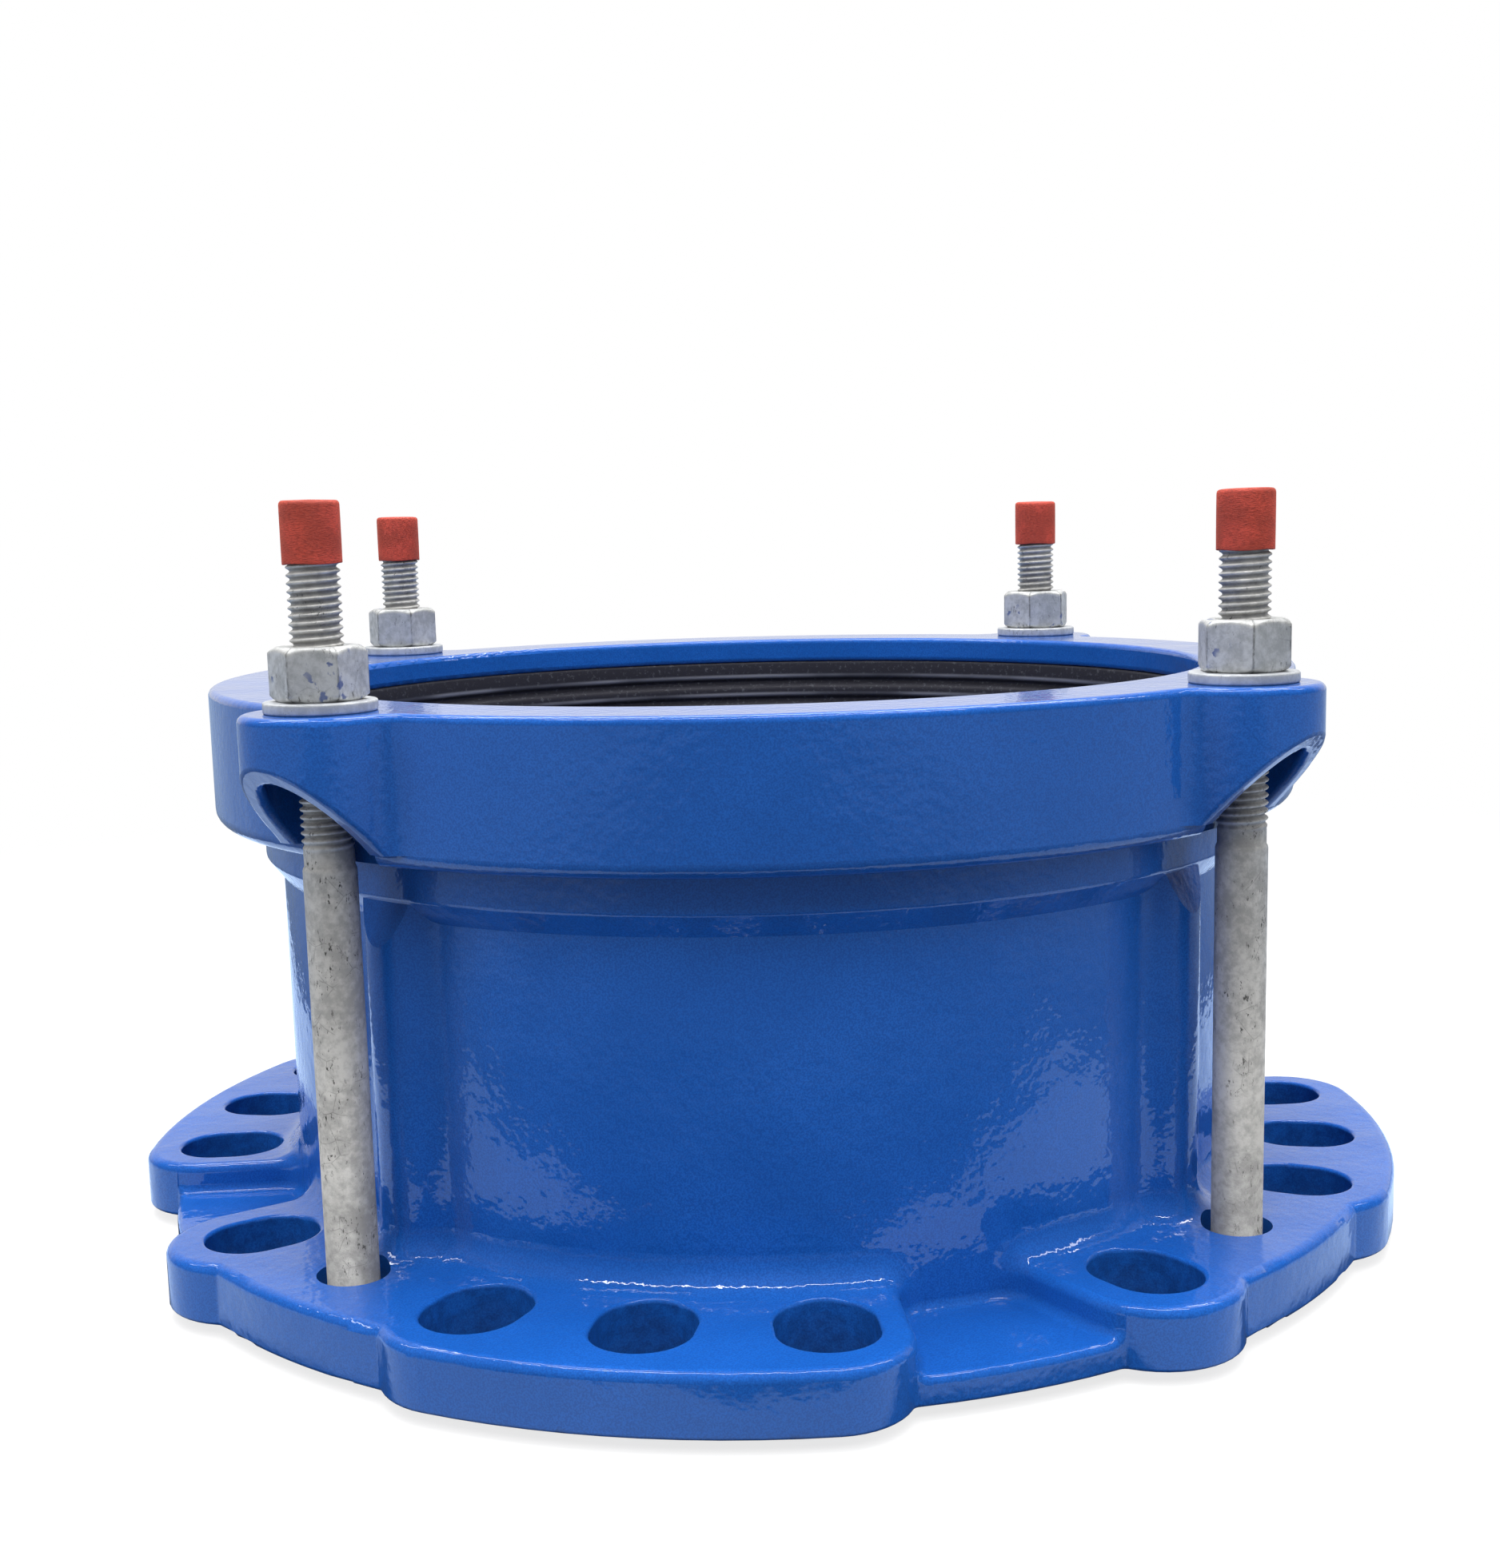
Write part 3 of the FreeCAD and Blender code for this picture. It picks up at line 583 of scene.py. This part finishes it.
def cap_profile(number):
    """A soft cap with a rounded end, slightly lumpy, with a mouth and an end that aren't quite straight."""
    rows = rounded_rows([(CAP_HOLE, CAP_MOUTH), (CAP_RADIUS, CAP_MOUTH), (CAP_RADIUS, 176.5),
                         (CAP_BELLY, 179), (CAP_BELLY, 182), (CAP_BELLY, 185), (CAP_RADIUS, CAP_END),
                         (0, CAP_END), (0, CAP_ROOF), (CAP_HOLE, CAP_ROOF)], CAP_ROUND)

    def profile(angle):
        lump = 0.5 + 0.3 * math.sin(2 * angle + 1.7 * number) + 0.2 * math.sin(5 * angle + 2.3 * number)
        wavy = 0.25 * (0.5 + 0.5 * math.sin(3 * angle + number))
        sloped = 0.25 * (0.5 + 0.5 * math.cos(angle - 1.3 * number))
        out = []
        for radius, z in rows:
            near_mouth = max(0, 1 - (z / MM - CAP_MOUTH) / 2)
            near_end = max(0, 1 - (CAP_END - z / MM) / 2) * (radius > 3 * MM)
            z += (CAP_LIFTS[number - 1] + wavy * near_mouth - sloped * near_end) * MM
            out.append((radius - 0.12 * MM * lump * (radius > 6 * MM), z))
        return out
    return profile


def build():
    paint(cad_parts["flange_body"], blue_epoxy("blue_epoxy_body", 1.0, 1.04))
    paint(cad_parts["compression_ring"], blue_epoxy("blue_epoxy_ring", 0.5, 0.86))
    bolt_grey, nut_grey, washer_grey = bolt_zinc(), nut_zinc(), washer_zinc()
    red = soft_cap("red_cap_finish")
    rubber = moulded_rubber("rubber_finish")

    gasket = new_piece("gasket_ridged", lathe(gasket_rows(), even_angles(360)), rubber)
    place_piece(gasket, "gasket", "flange")
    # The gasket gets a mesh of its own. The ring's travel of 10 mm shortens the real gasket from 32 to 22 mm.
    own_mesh(gasket)

    washer_shape = lathe(rounded_rows(WASHER_CORNERS, WASHER_ROUND), even_angles(96))
    nut_shape = lathe(nut_profile, NUT_SIDES)
    for number, (angle, thread_bottom, nut_turn) in enumerate(zip(BOLT_ANGLES, THREAD_BOTTOMS, NUT_TURNS), 1):
        at = spot(BOLT_CIRCLE, angle)
        bolt = new_piece(f"threaded_bolt_{number}", bolt_shape(thread_bottom), bolt_grey)
        place_piece(bolt, f"tie_bolt_{number}", "flange", at, angle)
        nut = new_piece(f"hex_nut_{number}", nut_shape, nut_grey)
        place_piece(nut, f"nut_{number}", f"nut_{number}", at, nut_turn)
        washer = new_piece(f"plain_washer_{number}", washer_shape, washer_grey)
        place_piece(washer, f"washer_{number}", "ring", at, angle)
        cap = new_piece(f"end_cap_{number}", lathe(cap_profile(number), even_angles(96)), red)
        place_piece(cap, f"cap_{number}", f"cap_{number}", at, angle)


# Floor, backdrop and light. Each pair gives where a soft edge starts and ends.
FLOOR_HALF = 6.0
SHEET_SIDE = (0.285, 0.3)
SHEET_FRONT = (0.193, 0.207)
# Where the sheet's painted shadow at the object's foot fades out.
SHEET_SHADOWED = (0.168, 0.175)
SHEET_LIGHT = 1.05
MIRRORED_COLOUR = (0.72, 0.95, 1.35, 1)
FLOOR_GREY = (0.2, 0.2, 0.2, 1)
FLOOR_GLOW = 0.77
WHITE_FROM = (0.3, 0.8)


def add_floor():
    """A white floor with a soft shadow. Reflections see a bright sheet on a dim table there instead."""
    f = Finish("floor_white", roughness=0.6, specular=0.1)
    f.shader.inputs["Base Color"].default_value = FLOOR_GREY
    photo_side = f.add("ShaderNodeVectorRotate", rotation_type="Z_AXIS")
    f.join(f.place, photo_side.inputs["Vector"])
    photo_side.inputs["Angle"].default_value = -TURN
    ragged = f.math("MULTIPLY", f.math("SUBTRACT", f.noise(0.03, detail=3), 0.5), 0.04)
    sideways = f.math("ADD", f.math("ABSOLUTE", f.along(photo_side.outputs[0], "X")), ragged)
    ahead = f.math("ADD", f.math("MULTIPLY", f.along(photo_side.outputs[0], "Y"), -1.0), ragged)
    reach = f.vector("LENGTH", f.place)
    sheet = f.math("MULTIPLY", f.ramp(sideways, *SHEET_SIDE, 1.0, 0.0), f.ramp(ahead, *SHEET_FRONT, 1.0, 0.0))
    # Painted shadow: the sheet darkens towards the object's foot.
    sheet = f.math("MULTIPLY", sheet, f.ramp(reach, *SHEET_SHADOWED, 0.0, SHEET_LIGHT))
    table = f.math("ADD", f.ramp(reach, 0.22, 0.45, 0.05, 0.22), f.ramp(sideways, 0.2, 0.7, 0.0, 0.3))
    mirrored = f.glow(MIRRORED_COLOUR, f.math("MAXIMUM", sheet, table))
    near = f.add("ShaderNodeAddShader")
    f.join(f.shader.outputs[0], near.inputs[0])
    f.join(f.glow(strength=FLOOR_GLOW), near.inputs[1])
    bright = f.mix_shaders(f.ramp(reach, *WHITE_FROM), near.outputs[0], f.glow())
    path = f.add("ShaderNodeLightPath")
    seen = f.mix_shaders(path.outputs["Is Camera Ray"], f.shader.outputs[0], bright)
    both = f.mix_shaders(path.outputs["Is Glossy Ray"], seen, mirrored)
    f.join(both, f.tree.nodes["Material Output"].inputs["Surface"])
    corners = [(-FLOOR_HALF, -FLOOR_HALF, 0), (FLOOR_HALF, -FLOOR_HALF, 0),
               (FLOOR_HALF, FLOOR_HALF, 0), (-FLOOR_HALF, FLOOR_HALF, 0)]
    floor = new_piece("floor", (corners, [(0, 1, 2, 3)]), f.material, smooth=False)


def add_world():
    """Even light, a white backdrop, and for reflections a room: dim on the photo's side, bright behind."""
    world = bpy.data.worlds.new("studio")
    bpy.context.scene.world = world
    world.use_nodes = True
    tree = world.node_tree
    light = tree.nodes["Background"]
    light.inputs["Color"].default_value = (1, 1, 1, 1)
    light.inputs["Strength"].default_value = 0.13
    white, room = add_node(tree, "ShaderNodeBackground"), add_node(tree, "ShaderNodeBackground")
    white.inputs["Color"].default_value = (1, 1, 1, 1)
    white.inputs["Strength"].default_value = 1.0
    room.inputs["Color"].default_value = (0.8, 0.8, 0.8, 1)
    behind = add_node(tree, "ShaderNodeVectorMath", operation="DOT_PRODUCT")
    tree.links.new(add_node(tree, "ShaderNodeTexCoord").outputs["Generated"], behind.inputs[0])
    behind.inputs[1].default_value = toward_camera(0, 1, 0.2)
    level = add_node(tree, "ShaderNodeMapRange", interpolation_type="SMOOTHSTEP")
    tree.links.new(behind.outputs["Value"], level.inputs["Value"])
    set_range(level, 0.2, 0.8, 0.1, 1.0)
    tree.links.new(level.outputs[0], room.inputs["Strength"])
    path = add_node(tree, "ShaderNodeLightPath")
    surface = light.outputs[0]
    for ray, shader in (("Is Glossy Ray", room), ("Is Camera Ray", white)):
        chosen = add_node(tree, "ShaderNodeMixShader")
        for output, socket in zip((path.outputs[ray], surface, shader.outputs[0]), chosen.inputs):
            tree.links.new(output, socket)
        surface = chosen.outputs[0]
    tree.links.new(surface, tree.nodes["World Output"].inputs["Surface"])


# Name, place from the photo's side, size, watts, and whether reflections show the lamp.
LAMPS = (("top", (0, 0.15, 1.5), (1.0, 1.0), 24, False),
         ("back_top", (0, 0.45, 1.4), (1.8, 0.16), 13, True),
         ("front_tube", (0, -0.35, 1.4), (1.4, 0.06), 6, True),
         ("left_tube", (-0.75, 0.05, 1.3), (0.08, 1.2), 3, True),
         ("right_tube", (0.75, 0.05, 1.3), (0.08, 1.2), 3, True),
         ("front_top", (0, -0.9, 1.2), (1.0, 0.8), 14.5, False),
         ("left", (-1.2, -0.5, 0.7), (0.6, 0.9), 7, False),
         ("right", (1.2, -0.5, 0.7), (0.6, 0.9), 7, False))
LAMP_TARGET = Vector((0, 0, 0.08))


def add_lamps():
    for name, place, size, watts, mirrored in LAMPS:
        data = bpy.data.lights.new(name, "AREA")
        data.shape = "RECTANGLE"
        data.size, data.size_y = size
        data.energy = watts
        lamp = bpy.data.objects.new(name, data)
        lamp.location = toward_camera(*place)
        lamp.rotation_euler = (LAMP_TARGET - lamp.location).to_track_quat("-Z", "Y").to_euler()
        lamp.visible_camera = False
        lamp.visible_glossy = mirrored
        bpy.context.collection.objects.link(lamp)


bpy.context.scene.view_settings.view_transform = "Standard"
add_camera()
add_world()
add_lamps()
add_floor()
build()
